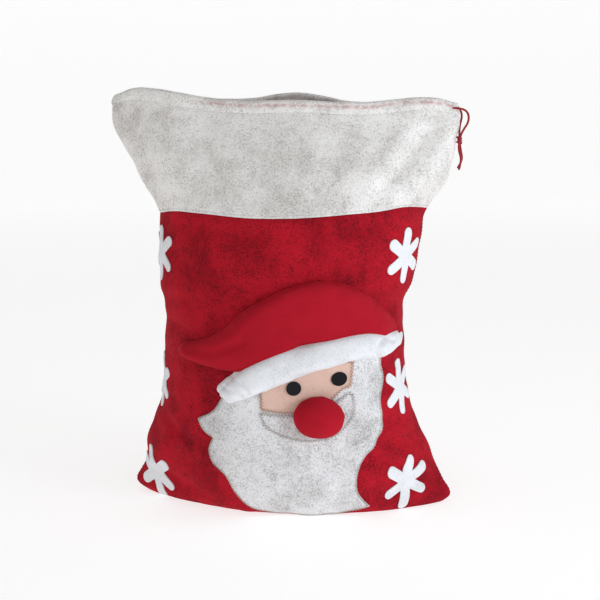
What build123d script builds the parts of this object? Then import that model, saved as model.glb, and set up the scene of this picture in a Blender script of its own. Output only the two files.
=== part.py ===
"""A filled felt gift sack with a drawstring mouth and a padded winter face.

Two flat panels are sewn together down the sides and across the bottom, and a pale
collar with a folded hem carries the drawstring. The front panel wears a bearded
face with a padded cap, a padded brim and a stuffed nose, and six snowflakes.

Frame: millimetres, +Z up, the front faces -Y, the origin is in the middle of the
base, on the surface that the sack stands on.
"""
from build123d import *
from functools import cache
import math
import os

os.makedirs("parts", exist_ok=True)

# ---- felt and fit ----
felt = 1.6                # every sheet of felt
gap = 0.3                 # between pieces that move apart
thread = 0.6              # sewing thread, laid flat
seam_allowance = 5.0      # where two panels lie face to face at a pinched side seam

# ---- filled body ----
body_height = 408.0       # floor to the collar seam
half_width = 175.0
half_depth = 146.0
# height share, left, right and depth shares, pinch (1 is an ellipse, 2 a sharp lens)
body_levels = [
    (0.00, 1.02, 1.09, 0.60, 1.50),
    (0.035, 1.19, 1.26, 0.77, 1.90),
    (0.12, 1.17, 1.16, 0.89, 1.50),
    (0.27, 1.07, 0.99, 0.97, 1.15),
    (0.47, 0.96, 0.92, 1.00, 1.00),
    (0.67, 0.97, 0.92, 1.00, 1.00),
    (0.83, 1.02, 1.01, 0.94, 1.00),
    (1.00, 1.02, 1.07, 0.87, 1.05),
]

# ---- collar and mouth ----
collar_height = 152.0     # collar seam to the middle of the front rim
mouth_half_width = 242.0
mouth_half_depth = 44.0
mouth_across = -9.0       # the middle of the mouth, to the left of the body's
left_corner_rise = 15.0   # above the middle of the front rim
right_corner_drop = 1.0
rear_rim_drop = 3.0
# share of the collar's height, then of the way to the mouth in width and in depth, pinch
collar_levels = [
    (0.30, 0.46, 0.24, 1.3),
    (0.60, 0.84, 0.53, 1.6),
    (0.88, 1.00, 0.86, 1.9),
    (1.20, 0.97, 1.00, 2.0),
]
hem_height = 16.0
casing = 5.0              # clear width inside the folded hem

# ---- drawstring ----
cord_diameter = 3.0
cord_clearance = 0.4      # all round the cord inside the hem
knot_length = 12.0
knot_diameter = 9.5
knot_drop = 43.0          # below the drawstring's way out of the hem
knot_clearance = 1.0      # between the knot and the edge of the collar

# ---- face ----
# across the front, and height above the floor
eye_places = {"left_eye": (24.0, 189.0), "right_eye": (82.0, 199.0)}
eye_diameter = 20.0
nose_across = 57.0
nose_middle = 147.0
nose_width = 70.0
nose_height = 58.0
nose_depth = 52.0
nose_out = 2.0            # from the skin of the sack out to the middle of the ball
cap_loft = 16.0
brim_loft = 25.0
edge_inset = 2.6          # stitching, from the edge of a sewn-on piece

# ---- snowflakes ----
flake_span = 76.0
flake_arm = 14.0
# height, and turn from the right side seam over the front
flake_places = {
    "right_top": (355.0, 23.0),
    "right_middle": (172.0, 17.0),
    "right_bottom": (43.0, 37.0),
    "left_top": (354.0, 160.0),
    "left_middle": (172.0, 166.0),
    "left_bottom": (38.0, 150.0),
}

front_rim = body_height + collar_height
exit_height = front_rim - right_corner_drop - hem_height / 2
far = 400.0               # past any surface of the sack


# ---- the filled form ----
def section_levels():
    """Height, left, right, depth and pinch of every level section, floor to mouth."""
    levels = []
    for height, left, right, depth, pinch in body_levels:
        levels.append((height * body_height, left * half_width, right * half_width,
                       depth * half_depth, pinch))
    _, left, right, depth, _ = levels[-1]
    for rise, widen, close, pinch in collar_levels:
        levels.append((body_height + rise * collar_height,
                       left + widen * (mouth_half_width - mouth_across - left),
                       right + widen * (mouth_half_width + mouth_across - right),
                       depth + close * (mouth_half_depth - depth), pinch))
    return levels


def section_point(level, turn, grow=0.0):
    """A point of a level section; turn runs from 0 at +X through 90 at the front."""
    height, left, right, depth, pinch = level
    ends = grow if grow > 0 else grow - seam_allowance * (pinch - 1) * (grow < 0)
    middle = (right - left) / 2
    reach = (left + right) / 2 + ends
    bulge = (depth + grow) * abs(math.sin(math.radians(turn))) ** pinch
    side = -1 if math.sin(math.radians(turn)) >= 0 else 1
    return (middle + reach * math.cos(math.radians(turn)), side * bulge)


@cache
def form(grow):
    """The filled sack as one solid, with its skin moved outwards by grow."""
    with BuildPart() as solid:
        for level in section_levels():
            with BuildSketch(Plane.XY.offset(max(level[0], -grow))):
                with BuildLine():
                    Spline(*[section_point(level, turn, grow) for turn in range(180, -1, -20)])
                    Spline(*[section_point(level, -turn, grow) for turn in range(0, 181, 20)])
                make_face()
        loft()
    return solid.part


def level_at(height):
    """The section at any height, between the two listed levels beside it."""
    levels = section_levels()
    for low, high in zip(levels, levels[1:]):
        if low[0] <= height <= high[0]:
            share = (height - low[0]) / (high[0] - low[0])
            return tuple(a + share * (b - a) for a, b in zip(low, high))
    raise ValueError("height is outside the sack")


def skin_point(height, turn):
    x, y = section_point(level_at(height), turn)
    return Vector(x, y, height)


def skin_plane(height, turn):
    """A plane that touches the skin, its normal outwards and its Y up the sack."""
    here = skin_point(height, turn)
    around = skin_point(height, turn - 1) - skin_point(height, turn + 1)
    up = skin_point(height + 1, turn) - skin_point(height - 1, turn)
    return Plane(origin=here, x_dir=around, z_dir=around.cross(up))


def keep_layer(inner, outer):
    """Cut the part being built to the layer between two offsets of the skin."""
    add(form(outer), mode=Mode.INTERSECT)
    add(form(inner), mode=Mode.SUBTRACT)


def save(piece, name):
    piece.part.label = name
    export_step(piece.part, f"parts/{name}.step")
    return piece.part


# ---- rims ----
mouth_left = section_levels()[-2][1]
mouth_right = section_levels()[-2][2]
corner_left = Vector(-mouth_left, 0, front_rim + left_corner_rise)
corner_right = Vector(mouth_right, 0, front_rim - right_corner_drop)
knot_height = exit_height - knot_drop
knot_out = level_at(knot_height)[2] + knot_diameter / 2 + knot_clearance


def rim_plane(side):
    """The tilted plane of the front (-1) or rear (1) rim, its normal up."""
    drop = rear_rim_drop if side > 0 else 0
    middle = Vector(mouth_across, side * mouth_half_depth, front_rim - drop)
    across = corner_right - corner_left
    normal = across.cross(middle - corner_left)
    if normal.Z < 0:
        normal = normal * -1
    return Plane(origin=middle, x_dir=across, z_dir=normal)


def between(solid, low, high):
    """What lies above one plane and below another."""
    with BuildPart() as kept:
        add(solid)
        split(bisect_by=high, keep=Keep.BOTTOM)
        split(bisect_by=low, keep=Keep.TOP)
    return kept.part


def half_space(side, start, low, high):
    """A block in front (-1) or behind (1) of the side seams, from start outwards."""
    with BuildPart() as block:
        with BuildSketch(Plane.XY.offset(low)):
            with Locations((0, side * (start + far / 2))):
                Rectangle(2 * far, far)
        extrude(amount=high - low)
    return block.part


# ---- panels ----
def make_panel(side, name):
    with BuildPart() as panel:
        add(form(0))
        add(form(-felt), mode=Mode.SUBTRACT)
        add(half_space(side, thread / 2, 0, body_height), mode=Mode.INTERSECT)
    return save(panel, name)


def make_seam_thread(name, low, high):
    """The thread between the two edges, down both sides and across the base."""
    with BuildPart() as seam:
        add(form(0))
        add(form(-felt), mode=Mode.SUBTRACT)
        with BuildSketch(Plane.XY.offset(low)) as strip:
            Rectangle(2 * far, thread)
        extrude(amount=high - low, mode=Mode.INTERSECT)
    return save(seam, name)


front_panel = make_panel(-1, "front_panel")
rear_panel = make_panel(1, "rear_panel")
side_and_bottom_seam_thread = make_seam_thread("side_and_bottom_seam_thread", 0, body_height)


# ---- cords and their channel ----
def corner_radii(points):
    """One radius for each corner, as large as its two runs allow."""
    radii = []
    for before, here, after in zip(points, points[1:], points[2:]):
        turn = (here - before).get_angle(after - here)
        shorter = min((here - before).length, (after - here).length)
        radii.append(0.45 * shorter / math.tan(math.radians(turn / 2)))
    return radii


def tube(points, diameter):
    """A round tube along straight runs that are joined by tangent arcs."""
    with BuildPart() as solid:
        with BuildLine() as route:
            FilletPolyline(*points, radius=corner_radii(points))
        with BuildSketch(route.line ^ 0):
            Circle(diameter / 2)
        sweep()
    return solid, route.wire().length


def make_cord(points, name):
    radii = corner_radii(points)
    cord, length = tube(points, cord_diameter)
    print(name, "radii", [round(radius, 1) for radius in radii], "length", round(length, 1),
          "volume", round(cord.part.volume, 1),
          "section by length", round(math.pi * cord_diameter ** 2 / 4 * length, 1))
    return save(cord, name)


def hem_point(side, across):
    """The middle of the hem's channel, at a distance across the tilted hem."""
    hem = rim_plane(side).offset(-hem_height / 2)
    line = Axis(hem.from_local_coords((across, 0, 0)), hem.y_dir)
    hits = form(-felt - casing / 2).find_intersection_points(line)
    return max((point for point, _ in hits), key=lambda point: side * point.Y)


def hem_run(side):
    """The drawstring's way inside the folded hem, corner to corner."""
    reach = mouth_half_width - 5 * cord_diameter
    return [hem_point(side, -reach * math.cos(math.radians(turn))) for turn in range(18, 163, 16)]


# ---- collar ----
def cord_exit():
    """The gap that the hem leaves at the right corner, where the cord comes out."""
    with BuildPart() as cut:
        with BuildSketch(Plane.YZ.offset(mouth_right - 7 * cord_diameter)):
            with Locations((0, exit_height)):
                Rectangle(2 * casing + 2 * felt, 2.4 * cord_diameter)
        extrude(amount=12 * cord_diameter)
    return cut.part


def make_collar(side, name):
    rim = rim_plane(side)
    base = Plane.XY.offset(body_height + gap)
    below_hem = between(form(-felt), Plane.XY.offset(body_height - 1), rim.offset(-hem_height))
    channel = between(form(-felt), rim.offset(felt - hem_height), rim.offset(-felt))
    with BuildPart() as lining:
        add(channel)
        add(form(-felt - casing), mode=Mode.SUBTRACT)
    with BuildPart() as collar:
        add(between(form(0), base, rim))
        add(form(-2 * felt - casing), mode=Mode.SUBTRACT)
        add(below_hem, mode=Mode.SUBTRACT)
        add(lining.part, mode=Mode.SUBTRACT)
        add(half_space(side, thread / 2 + gap, 0, 2 * far), mode=Mode.INTERSECT)
        add(cord_exit(), mode=Mode.SUBTRACT)
        add(tube(hem_run(side), cord_diameter + 2 * cord_clearance)[0].part, mode=Mode.SUBTRACT)
    return save(collar, name)


def make_band_thread(side, name, low, high):
    """A line of stitches that runs along the outside between two planes."""
    with BuildPart() as band:
        add(between(form(thread), low, high))
        add(form(0), mode=Mode.SUBTRACT)
        add(half_space(side, thread / 2 + gap, 0, 2 * far), mode=Mode.INTERSECT)
        add(cord_exit(), mode=Mode.SUBTRACT)
    return save(band, name)


for side, end in ((-1, "front"), (1, "rear")):
    make_collar(side, end + "_collar")
    seam = Plane.XY.offset(body_height + 3)
    make_band_thread(side, end + "_collar_seam_thread", seam, seam.offset(thread))
    hem = rim_plane(side).offset(felt / 2 - hem_height)
    make_band_thread(side, end + "_hem_thread", hem, hem.offset(thread))


# ---- drawstring runs, strands and knot ----
for side, end in ((-1, "front"), (1, "rear")):
    make_cord(hem_run(side), f"drawstring_{end}_run")

leave = mouth_right - 5 * cord_diameter
front_strand = make_cord([Vector(*point) for point in (
    (leave, -3.2, exit_height), (leave + 14, -3.8, exit_height + 1),
    (leave + 25, -5, exit_height - 5), (leave + 26, -6, exit_height - 18),
    (leave + 17, -4.5, exit_height - 31), (knot_out, -1.8, knot_height),
    (knot_out - 1, -1.8, knot_height - 13), (knot_out + 4, -3.5, knot_height - 27),
    (knot_out, -5, knot_height - 40))], "drawstring_front_strand")
rear_strand = make_cord([Vector(*point) for point in (
    (leave, 3.2, exit_height), (leave + 12, 3.8, exit_height + 1),
    (leave + 17, 3.4, exit_height - 9), (leave + 13, 2.2, exit_height - 25),
    (knot_out, 1.8, knot_height), (knot_out + 2, 1.8, knot_height - 13),
    (knot_out + 5, 4, knot_height - 28), (knot_out - 2, 6, knot_height - 38))],
    "drawstring_rear_strand")


def ellipsoid(width, depth, height, middle):
    with BuildPart() as ball:
        Sphere(0.5)
        scale(by=(width, depth, height))
    return ball.part.moved(Location(middle))


with BuildPart() as drawstring_knot:
    add(ellipsoid(knot_diameter, knot_diameter, knot_length, (knot_out, 0, knot_height)))
    add([front_strand, rear_strand], mode=Mode.SUBTRACT)
save(drawstring_knot, "drawstring_knot")


# ---- flat pieces of the face ----
# Cheek, left point, curls down to the hem, right point, and up the other cheek.
with BuildSketch() as beard_outline:
    with BuildLine():
        Spline((-70, 175), (-84, 152), (-108, 137))
        Spline((-108, 137), (-99, 122), (-85, 114))
        Spline((-85, 114), (-92, 99), (-89, 80), (-70, 60), (-58, 36), (-40, 14), (-15, 5),
               (30, 3), (85, 4), (121, 13))
        Spline((121, 13), (108, 34), (106, 58), (112, 80), (128, 102), (136, 118), (138, 138))
        Spline((138, 138), (133, 158), (137, 190), (134, 222))
        Polyline((134, 222), (60, 246), (-20, 215), (-70, 175))
    make_face()


# The skin, narrow at the left, under the brim at the top and the nose below.
with BuildSketch() as face_outline:
    with BuildLine():
        Polyline((-18, 158), (-19, 196), (60, 226), (101, 222), (97, 186), (87, 184))
        Spline((87, 184), (60, 160), (20, 153), (-18, 158))
    make_face()


# The lower face, from one cheek down round the nose to the other.
with BuildSketch() as moustache_outline:
    with BuildLine():
        Spline((-20, 156), (-12, 138), (12, 122), (48, 113), (84, 121), (103, 146), (101, 180))
        Line((101, 180), (88, 182))
        Spline((88, 182), (60, 157), (20, 150), (-20, 156))
    make_face()


def inset_points(outline, inset, count=120):
    """Points all round an outline, moved in by inset, or out where it is negative."""
    edge = outline.sketch.face().outer_wire()
    ring = [edge.position_at(step / count) for step in range(count)]
    area = sum(one.X * two.Y - two.X * one.Y for one, two in zip(ring, ring[1:] + ring[:1]))
    inward = math.copysign(inset, area)
    points = []
    for step, here in enumerate(ring):
        along = edge.tangent_at(step / count)
        moved = here + Vector(-along.Y, along.X) * inward
        if edge.distance_to(moved) > 0.97 * abs(inset):
            points.append(moved)
    return points


def extrude_front(outline, inset=0.0):
    """Push a face outline, drawn in the XZ plane, out through the front of the sack."""
    with BuildPart() as block:
        with BuildSketch(Plane.XZ):
            if inset:
                Polygon(*[(point.X, point.Y) for point in inset_points(outline, inset)],
                        align=None)
            else:
                add(outline.sketch)
        extrude(amount=far)
    return block.part


def make_sheet(outline, inner, name):
    with BuildPart() as sheet:
        add(extrude_front(outline))
        keep_layer(inner, inner + felt)
    return save(sheet, name)


def make_edge_thread(outline, inner, name):
    """A closed line of stitches just inside the edge of a sewn-on piece."""
    with BuildPart() as stitches:
        add(extrude_front(outline, edge_inset))
        add(extrude_front(outline, edge_inset + thread), mode=Mode.SUBTRACT)
        keep_layer(inner, inner + thread)
    return save(stitches, name)


make_sheet(beard_outline, 0, "beard")
make_sheet(face_outline, felt, "face_panel")
make_sheet(moustache_outline, felt, "moustache")
make_edge_thread(beard_outline, felt, "beard_thread")
make_edge_thread(face_outline, 2 * felt, "face_panel_thread")
make_edge_thread(moustache_outline, 2 * felt, "moustache_thread")

for name, place in eye_places.items():
    with BuildPart() as eye:
        with BuildSketch(Plane.XZ):
            with Locations(place):
                Circle(eye_diameter / 2)
        extrude(amount=far)
        keep_layer(2 * felt, 3 * felt)
    save(eye, name)


# ---- padded pieces of the face ----
# The soft cap, its end flopped over to the left.
with BuildSketch() as cap_outline:
    with BuildLine():
        Spline((-124, 214), (-141, 221), (-134, 235), (-108, 246), (-82, 260), (-34, 298),
               (20, 327), (70, 335), (114, 317), (143, 282), (154, 244))
        Spline((154, 244), (60, 238), (-20, 208), (-72, 206), (-124, 214))
    make_face()


# The brim, lower at the left, with rounded ends.
with BuildSketch() as brim_outline:
    with BuildLine():
        Spline((-60, 164), (-79, 182), (-58, 207), (-16, 237), (59, 260), (143, 262),
               (156, 250), (157, 234), (143, 222))
        Spline((143, 222), (110, 222), (64, 213), (18, 196), (-18, 180), (-60, 164))
    make_face()


def make_padded(outline, inner, outer, name, beside=None):
    """A cover sewn down all round and its padding, both clear of the piece beside."""
    with BuildPart() as hollow:
        add(extrude_front(outline, felt))
        add(form(outer - felt), mode=Mode.INTERSECT)
    with BuildPart() as cover:
        add(extrude_front(outline))
        keep_layer(inner, outer)
        add(hollow.part, mode=Mode.SUBTRACT)
        if beside:
            add(extrude_front(beside), mode=Mode.SUBTRACT)
    save(cover, name + "_cover")
    with BuildPart() as padding:
        add(hollow.part)
        add(form(inner), mode=Mode.SUBTRACT)
        if beside:
            add(extrude_front(beside), mode=Mode.SUBTRACT)
    save(padding, name + "_padding")


make_padded(brim_outline, 3 * felt + gap, brim_loft, "brim")
make_padded(cap_outline, 0, cap_loft, "cap", beside=brim_outline)

def nose_ball(inset):
    """The stuffed ball, its rear half set into the face so that it sits on a flat round."""
    front = skin_point(nose_middle, 90).Y
    return ellipsoid(nose_width - 2 * inset, nose_depth - 2 * inset, nose_height - 2 * inset,
                     (nose_across, front - nose_out, nose_middle))


with BuildPart() as nose_cover:
    add(nose_ball(0))
    add(nose_ball(felt), mode=Mode.SUBTRACT)
    add(form(2 * felt + thread), mode=Mode.SUBTRACT)
save(nose_cover, "nose_cover")

with BuildPart() as nose_filling:
    add(nose_ball(felt))
    add(form(2 * felt + thread), mode=Mode.SUBTRACT)
save(nose_filling, "nose_filling")


# ---- snowflakes ----
for place, (height, turn) in flake_places.items():
    with BuildPart() as flake:
        with BuildSketch(skin_plane(height, turn)):
            for angle in (30, 90, 150):
                SlotOverall(flake_span, flake_arm, rotation=angle)
        extrude(amount=flake_span / 2, both=True)
        keep_layer(0, felt)
    save(flake, f"{place}_snowflake")
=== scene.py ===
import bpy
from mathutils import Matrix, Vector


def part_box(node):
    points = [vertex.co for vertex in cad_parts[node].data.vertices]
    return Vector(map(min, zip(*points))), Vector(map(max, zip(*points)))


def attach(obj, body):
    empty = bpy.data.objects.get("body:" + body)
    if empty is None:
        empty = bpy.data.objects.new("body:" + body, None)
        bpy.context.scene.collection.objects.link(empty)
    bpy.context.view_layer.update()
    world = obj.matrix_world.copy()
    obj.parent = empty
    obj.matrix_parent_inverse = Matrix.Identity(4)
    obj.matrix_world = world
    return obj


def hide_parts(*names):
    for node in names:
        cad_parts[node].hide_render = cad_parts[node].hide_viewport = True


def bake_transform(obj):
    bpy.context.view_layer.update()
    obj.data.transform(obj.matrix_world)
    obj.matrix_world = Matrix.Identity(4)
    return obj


bl_info = {
    "name": "Felt gift sack",
    "version": (1, 0, 0),
    "blender": (4, 5, 0),
    "location": "3D View > Sidebar > Gift sack",
    "description": "Makes a filled felt gift sack with a drawstring collar and a padded winter face",
    "category": "Add Mesh",
}

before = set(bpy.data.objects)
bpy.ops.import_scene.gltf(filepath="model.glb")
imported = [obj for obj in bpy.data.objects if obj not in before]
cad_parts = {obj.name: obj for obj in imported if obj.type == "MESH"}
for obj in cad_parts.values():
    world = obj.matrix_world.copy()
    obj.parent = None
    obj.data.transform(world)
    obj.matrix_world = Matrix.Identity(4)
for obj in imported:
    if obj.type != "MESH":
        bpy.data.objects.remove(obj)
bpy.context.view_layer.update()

import math

import bpy
import numpy as np
from bpy.props import FloatProperty, FloatVectorProperty, IntProperty, PointerProperty
from mathutils import Vector
from mathutils.geometry import delaunay_2d_cdt

# ---- the filled sack, in metres ----
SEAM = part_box("front_panel")[1].z          # the collar seam, where it is lowest
MOUTH_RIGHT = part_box("front_collar")[1].x
HEM = 0.018                                # the rim to the line of hem stitches
CASING = 0.0033                            # half the width of the folded hem
FRONT, REAR = 1, -1
SEAM_REACH, SEAM_MIDDLE = (0.187 + 0.185) / 2, 0.001      # half width, and its middle in x
RIM_REACH, RIM_MIDDLE = 0.2425, -0.0095

# height, left, right, depth, then pinch at the left and at the right seam
# (pinch is 1 where the section is an ellipse, and 2 where it is a sharp lens)
LEVELS = np.array([
    (0.000, 0.2080, 0.2180, 0.0920, 1.80, 1.70),
    (0.007, 0.2200, 0.2260, 0.1050, 2.20, 1.90),
    (0.018, 0.2250, 0.2265, 0.1150, 2.40, 1.90),
    (0.030, 0.2200, 0.2200, 0.1220, 2.10, 1.80),
    (0.045, 0.2110, 0.2120, 0.1290, 1.65, 1.60),
    (0.077, 0.2080, 0.1980, 0.1360, 1.30, 1.35),
    (0.110, 0.1980, 0.1830, 0.1416, 1.15, 1.15),
    (0.155, 0.1820, 0.1670, 0.1445, 1.05, 1.05),
    (0.205, 0.1800, 0.1620, 0.1460, 1.00, 1.00),
    (0.262, 0.1755, 0.1590, 0.1460, 1.00, 1.00),
    (0.292, 0.1795, 0.1610, 0.1440, 1.00, 1.00),
    (0.315, 0.1825, 0.1710, 0.1405, 1.00, 1.00),
    (0.350, 0.1845, 0.1790, 0.1355, 1.00, 1.00),
    (0.385, 0.1820, 0.1830, 0.1300, 1.00, 1.00),
    (0.412, 0.1850, 0.1890, 0.1262, 1.02, 1.08),
    (0.435, 0.1980, 0.2060, 0.1150, 1.05, 1.22),
    (0.456, 0.2100, 0.2170, 0.1060, 1.08, 1.31),
    (0.477, 0.2230, 0.2230, 0.0960, 1.10, 1.43),
    (0.495, 0.2350, 0.2275, 0.0860, 1.12, 1.57),
    (0.512, 0.2450, 0.2300, 0.0760, 1.14, 1.70),
    (0.528, 0.2500, 0.2320, 0.0660, 1.16, 1.80),
    (0.545, 0.2520, 0.2320, 0.0560, 1.18, 1.88),
    (0.560, 0.2510, 0.2300, 0.0500, 1.18, 1.92),
    (0.572, 0.2450, 0.2260, 0.0470, 1.18, 1.96),
    (0.590, 0.2400, 0.2220, 0.0450, 1.20, 2.00),
])

# how the seams and rims rise and dip: pairs of x and height
COLLAR_SEAM = [(-0.185, 0.405), (-0.154, 0.412), (-0.107, 0.413), (-0.035, 0.410),
               (0.018, 0.410), (0.083, 0.414), (0.127, 0.417), (0.164, 0.420), (0.188, 0.415)]
REAR_SEAM = [(-0.185, 0.405), (-0.100, 0.411), (0.000, 0.408), (0.110, 0.413), (0.188, 0.415)]
FRONT_RIM = [(-0.252, 0.571), (-0.232, 0.578), (-0.193, 0.578), (-0.156, 0.573),
             (-0.112, 0.567), (-0.062, 0.563), (0.020, 0.563), (0.081, 0.561),
             (0.114, 0.561), (0.153, 0.565), (0.190, 0.567), (0.212, 0.565), (0.233, 0.558)]
REAR_RIM = [(-0.252, 0.571), (-0.232, 0.577), (-0.193, 0.575), (-0.112, 0.563),
            (-0.052, 0.565), (-0.025, 0.570), (0.008, 0.572), (0.036, 0.569),
            (0.075, 0.561), (0.140, 0.560), (0.190, 0.561), (0.212, 0.560), (0.233, 0.558)]

# folds in the felt: from x, z to x, z, half width, height (negative is a valley)
FRONT_FOLDS = [
    (0.214, 0.552, 0.122, 0.428, 0.013, -0.0065),
    (0.229, 0.540, 0.172, 0.430, 0.011, 0.0040),
    (0.196, 0.556, 0.105, 0.450, 0.016, 0.0040),
    (0.206, 0.540, 0.176, 0.546, 0.005, -0.0028),
    (0.200, 0.528, 0.178, 0.530, 0.004, 0.0022),
    (0.190, 0.520, 0.160, 0.532, 0.005, -0.0022),
    (-0.240, 0.560, -0.196, 0.440, 0.009, 0.0035),
    (-0.226, 0.556, -0.172, 0.440, 0.011, -0.0050),
    (-0.204, 0.545, -0.150, 0.430, 0.014, 0.0030),
    (-0.120, 0.540, -0.090, 0.450, 0.025, -0.0030),
    (0.040, 0.530, 0.020, 0.430, 0.030, 0.0020),
    (0.100, 0.540, 0.060, 0.460, 0.018, -0.0028),
    (-0.172, 0.290, -0.110, 0.300, 0.010, -0.0045),
    (-0.172, 0.262, -0.128, 0.258, 0.008, -0.0035),
    (0.160, 0.292, 0.118, 0.305, 0.010, -0.0045),
    (0.162, 0.205, 0.132, 0.212, 0.008, -0.0030),
    (0.122, 0.118, 0.168, 0.090, 0.007, -0.0045),
    (0.120, 0.102, 0.176, 0.068, 0.006, 0.0035),
    (0.118, 0.092, 0.170, 0.056, 0.005, -0.0030),
    (0.128, 0.142, 0.162, 0.124, 0.006, -0.0035),
    (0.212, 0.018, 0.152, 0.104, 0.012, 0.0040),
    (0.198, 0.044, 0.140, 0.028, 0.010, -0.0030),
    (-0.206, 0.020, -0.150, 0.120, 0.012, 0.0040),
    (-0.195, 0.050, -0.120, 0.022, 0.010, -0.0035),
    (-0.178, 0.130, -0.120, 0.100, 0.008, -0.0040),
    (-0.170, 0.165, -0.118, 0.172, 0.009, 0.0030),
    (0.070, 0.040, 0.118, 0.028, 0.005, -0.0028),
    (-0.120, 0.396, -0.020, 0.382, 0.012, -0.0022),
    (0.030, 0.390, 0.130, 0.398, 0.012, -0.0024),
    (-0.060, 0.358, 0.060, 0.370, 0.020, 0.0024),
    (-0.150, 0.350, -0.090, 0.330, 0.012, -0.0024),
]
REAR_FOLDS = [
    (-0.210, 0.545, -0.110, 0.440, 0.014, 0.0045),
    (0.215, 0.548, 0.130, 0.440, 0.013, 0.0040),
    (0.226, 0.530, 0.170, 0.450, 0.010, -0.0040),
    (-0.030, 0.540, -0.050, 0.440, 0.026, -0.0030),
    (0.060, 0.535, 0.080, 0.450, 0.020, 0.0020),
    (-0.165, 0.290, -0.080, 0.310, 0.014, -0.0050),
    (0.160, 0.270, 0.070, 0.285, 0.014, -0.0050),
    (-0.100, 0.190, 0.060, 0.170, 0.020, -0.0030),
    (-0.040, 0.120, 0.110, 0.150, 0.016, 0.0030),
    (0.205, 0.022, 0.130, 0.110, 0.012, 0.0040),
    (-0.200, 0.020, -0.130, 0.120, 0.012, 0.0040),
    (-0.180, 0.060, -0.090, 0.030, 0.010, -0.0035),
    (0.180, 0.060, 0.090, 0.032, 0.010, -0.0035),
    (-0.110, 0.395, 0.000, 0.380, 0.012, -0.0022),
    (0.020, 0.385, 0.120, 0.398, 0.012, -0.0022),
]

# ---- outlines of the face, x and z in metres, one list for each stretch between corners ----
BEARD = [
    [(-0.070, 0.175), (-0.084, 0.152), (-0.108, 0.137)],
    [(-0.108, 0.137), (-0.099, 0.122), (-0.085, 0.114)],
    [(-0.085, 0.114), (-0.092, 0.099), (-0.089, 0.080), (-0.070, 0.060), (-0.058, 0.036),
     (-0.040, 0.014), (-0.015, 0.005), (0.030, 0.003), (0.085, 0.004), (0.121, 0.013)],
    [(0.121, 0.013), (0.108, 0.034), (0.106, 0.058), (0.112, 0.080), (0.128, 0.102),
     (0.136, 0.118), (0.138, 0.138)],
    [(0.138, 0.138), (0.133, 0.158), (0.137, 0.190), (0.134, 0.222)],
    [(0.134, 0.222), (0.060, 0.246)],
    [(0.060, 0.246), (-0.020, 0.215)],
    [(-0.020, 0.215), (-0.070, 0.175)],
]
FACE = [
    [(-0.018, 0.158), (-0.019, 0.196)],
    [(-0.019, 0.196), (0.060, 0.226)],
    [(0.060, 0.226), (0.101, 0.222)],
    [(0.101, 0.222), (0.097, 0.186)],
    [(0.097, 0.186), (0.087, 0.184)],
    [(0.087, 0.184), (0.060, 0.160), (0.020, 0.153), (-0.018, 0.158)],
]
MOUSTACHE = [
    [(-0.020, 0.156), (-0.014, 0.138), (0.010, 0.122), (0.046, 0.114), (0.082, 0.122),
     (0.100, 0.145), (0.101, 0.178)],
    [(0.101, 0.178), (0.094, 0.180)],
    [(0.094, 0.180), (0.062, 0.158), (0.020, 0.151), (-0.020, 0.156)],
]
CAP = [
    [(-0.124, 0.214), (-0.141, 0.221), (-0.134, 0.235), (-0.108, 0.246), (-0.082, 0.260),
     (-0.034, 0.298), (0.020, 0.327), (0.070, 0.335), (0.114, 0.317), (0.143, 0.282),
     (0.154, 0.244)],
    [(0.154, 0.244), (0.060, 0.238), (-0.020, 0.208), (-0.072, 0.206), (-0.124, 0.214)],
]
BRIM = [
    [(-0.060, 0.164), (-0.079, 0.182), (-0.058, 0.207), (-0.016, 0.237), (0.059, 0.260),
     (0.143, 0.262), (0.156, 0.250), (0.157, 0.234), (0.143, 0.222)],
    [(0.143, 0.222), (0.110, 0.2205), (0.064, 0.2090), (0.018, 0.1915), (-0.018, 0.178),
     (-0.060, 0.164)],
]
EYES = {"left_eye": (0.0255, 0.188), "right_eye": (0.082, 0.199)}
EYE_RADIUS = 0.0096

# height, and turn in degrees from the right seam over the front
FLAKES = {"right_top": (0.355, 23), "right_middle": (0.172, 17), "right_bottom": (0.043, 37),
          "left_top": (0.354, 160), "left_middle": (0.172, 166), "left_bottom": (0.038, 150)}

# the drawstring's way out of the hem, through the knot and down
LEAVE = MOUTH_RIGHT - 0.015
EXIT_HEIGHT = 0.551
KNOT = Vector((0.233, 0, 0.508))
FRONT_STRAND = [
    (LEAVE, -0.0032, EXIT_HEIGHT), (LEAVE + 0.014, -0.0038, EXIT_HEIGHT + 0.001),
    (LEAVE + 0.025, -0.005, EXIT_HEIGHT - 0.005), (LEAVE + 0.026, -0.006, EXIT_HEIGHT - 0.018),
    (LEAVE + 0.017, -0.0045, EXIT_HEIGHT - 0.031), (KNOT.x, -0.0018, KNOT.z),
    (KNOT.x - 0.001, -0.0018, KNOT.z - 0.013), (KNOT.x + 0.004, -0.0035, KNOT.z - 0.027),
    (KNOT.x, -0.005, KNOT.z - 0.040),
]
REAR_STRAND = [
    (LEAVE, 0.0032, EXIT_HEIGHT), (LEAVE + 0.012, 0.0038, EXIT_HEIGHT + 0.001),
    (LEAVE + 0.017, 0.0034, EXIT_HEIGHT - 0.009), (LEAVE + 0.013, 0.0022, EXIT_HEIGHT - 0.025),
    (KNOT.x, 0.0018, KNOT.z), (KNOT.x + 0.002, 0.0018, KNOT.z - 0.013),
    (KNOT.x + 0.005, 0.004, KNOT.z - 0.028), (KNOT.x - 0.002, 0.006, KNOT.z - 0.038),
]
FRONT_LENGTH, REAR_LENGTH = 0.108, 0.095


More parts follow.
